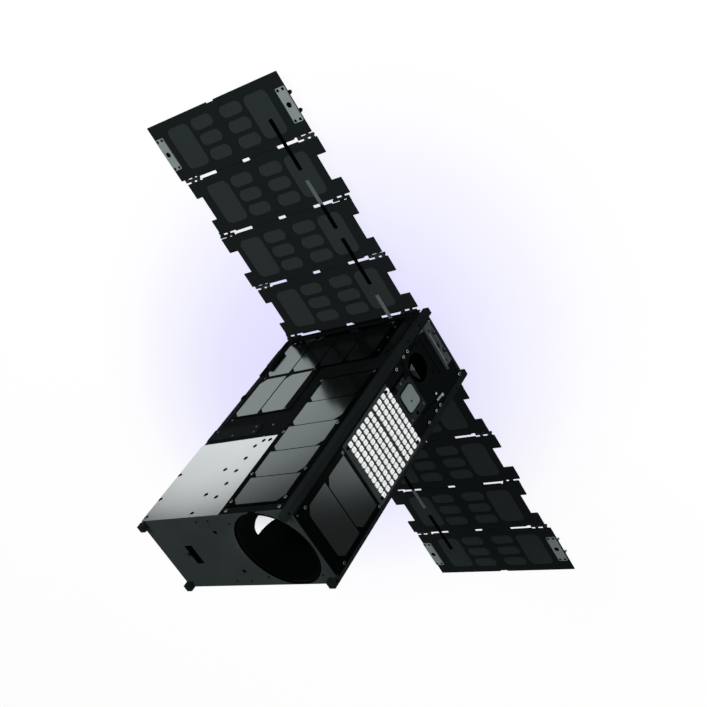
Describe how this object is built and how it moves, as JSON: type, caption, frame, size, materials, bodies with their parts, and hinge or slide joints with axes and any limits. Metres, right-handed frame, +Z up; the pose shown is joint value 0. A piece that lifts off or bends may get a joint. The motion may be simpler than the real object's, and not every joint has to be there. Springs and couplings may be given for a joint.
{
  "type": "satellite",
  "caption": "Box-shaped nanosatellite with corner rails, a telescope opening in one end and two folding solar wings on coupled hinges.",
  "frame": {"origin": "middle of the footprint on the floor, under the four rail ends at the wings' end", "axes": "+Z up towards the telescope opening, +X across the large faces, +Y towards the front wing"},
  "size_m": [0.2274, 0.736, 0.3405],
  "materials": {
    "rail": "hard anodised, satin",
    "anodised": "black anodised, matte",
    "end_plate": "black anodised, matte",
    "radiator": "bare, satin",
    "cells": "cover glass over dark cells, glossy",
    "board": "black solder mask",
    "panel": "black coated laminate",
    "bare_metal": "grey anodised, satin",
    "baffle": "optical black, matte",
    "mirror": "polished",
    "socket": "moulded",
    "ceramic": "matte"
  },
  "bodies": {
    "bus": {"antenna_array": "board", "avionics_stack": "anodised", "back_corner_board": "board", "back_corner_cells": "cells", "back_frame": "anodised", "back_hold_downs": "anodised", "back_radiator": "radiator", "back_root_hinge": "anodised", "back_strip_board": "board", "back_strip_cells": "cells", "front_bar": "anodised", "front_corner_board": "board", "front_corner_cells": "cells", "front_flange": "anodised", "front_frame": "anodised", "front_hold_downs": "anodised", "front_margin_strip": "board", "front_radiator": "radiator", "front_root_hinge": "anodised", "front_strip_board": "board", "front_strip_cells": "cells", "left_board": "board", "left_cells": "cells", "left_frame": "anodised", "patch_antenna": "ceramic", "patch_plate": "anodised", "rail_back_left": "rail", "rail_back_right": "rail", "rail_front_left": "rail", "rail_front_right": "rail", "right_board": "board", "right_cells": "cells", "right_frame": "anodised", "side_bracket": "bare_metal", "star_tracker": "baffle", "telescope_baffle": "baffle", "telescope_end_plate": "end_plate", "telescope_mirror": "mirror", "umbilical_socket": "socket", "wing_end_plate": "end_plate"},
    "front_leaf_1": {"front_panel_1": "panel", "front_panel_1_cells": "cells"},
    "front_leaf_2": {"front_panel_2": "panel", "front_panel_2_cells": "cells"},
    "front_leaf_3": {"front_panel_3": "panel", "front_panel_3_cells": "cells"},
    "front_leaf_4": {"front_panel_4": "panel", "front_panel_4_cells": "cells", "front_tip_brackets": "bare_metal"},
    "back_leaf_1": {"back_panel_1": "panel", "back_panel_1_cells": "cells"},
    "back_leaf_2": {"back_panel_2": "panel", "back_panel_2_cells": "cells"},
    "back_leaf_3": {"back_panel_3": "panel", "back_panel_3_cells": "cells"},
    "back_leaf_4": {"back_panel_4": "panel", "back_panel_4_cells": "cells", "back_tip_brackets": "bare_metal"}
  },
  "joints": [
    {"name": "front_root_hinge", "type": "hinge", "parent": "bus", "child": "front_leaf_1", "pos_m": [0, 0.0555, 0.0102], "axis": [1, 0, 0], "range_deg": [0, 90]},
    {"name": "front_hinge_1", "type": "hinge", "parent": "front_leaf_1", "child": "front_leaf_2", "pos_m": [0, 0.134, 0.0072], "axis": [1, 0, 0], "range_deg": [-180, 0]},
    {"name": "front_hinge_2", "type": "hinge", "parent": "front_leaf_2", "child": "front_leaf_3", "pos_m": [0, 0.2125, 0.0102], "axis": [1, 0, 0], "range_deg": [0, 180]},
    {"name": "front_hinge_3", "type": "hinge", "parent": "front_leaf_3", "child": "front_leaf_4", "pos_m": [0, 0.291, 0.0072], "axis": [1, 0, 0], "range_deg": [-180, 0]},
    {"name": "back_root_hinge", "type": "hinge", "parent": "bus", "child": "back_leaf_1", "pos_m": [0, -0.0555, 0.0102], "axis": [-1, 0, 0], "range_deg": [0, 90]},
    {"name": "back_hinge_1", "type": "hinge", "parent": "back_leaf_1", "child": "back_leaf_2", "pos_m": [0, -0.134, 0.0072], "axis": [-1, 0, 0], "range_deg": [-180, 0]},
    {"name": "back_hinge_2", "type": "hinge", "parent": "back_leaf_2", "child": "back_leaf_3", "pos_m": [0, -0.2125, 0.0102], "axis": [-1, 0, 0], "range_deg": [0, 180]},
    {"name": "back_hinge_3", "type": "hinge", "parent": "back_leaf_3", "child": "back_leaf_4", "pos_m": [0, -0.291, 0.0072], "axis": [-1, 0, 0], "range_deg": [-180, 0]}
  ],
  "couplings": [
    {"joint": "front_hinge_1", "follows": "front_root_hinge", "ratio": -2},
    {"joint": "front_hinge_2", "follows": "front_root_hinge", "ratio": 2},
    {"joint": "front_hinge_3", "follows": "front_root_hinge", "ratio": -2},
    {"joint": "back_hinge_1", "follows": "back_root_hinge", "ratio": -2},
    {"joint": "back_hinge_2", "follows": "back_root_hinge", "ratio": 2},
    {"joint": "back_hinge_3", "follows": "back_root_hinge", "ratio": -2}
  ]
}
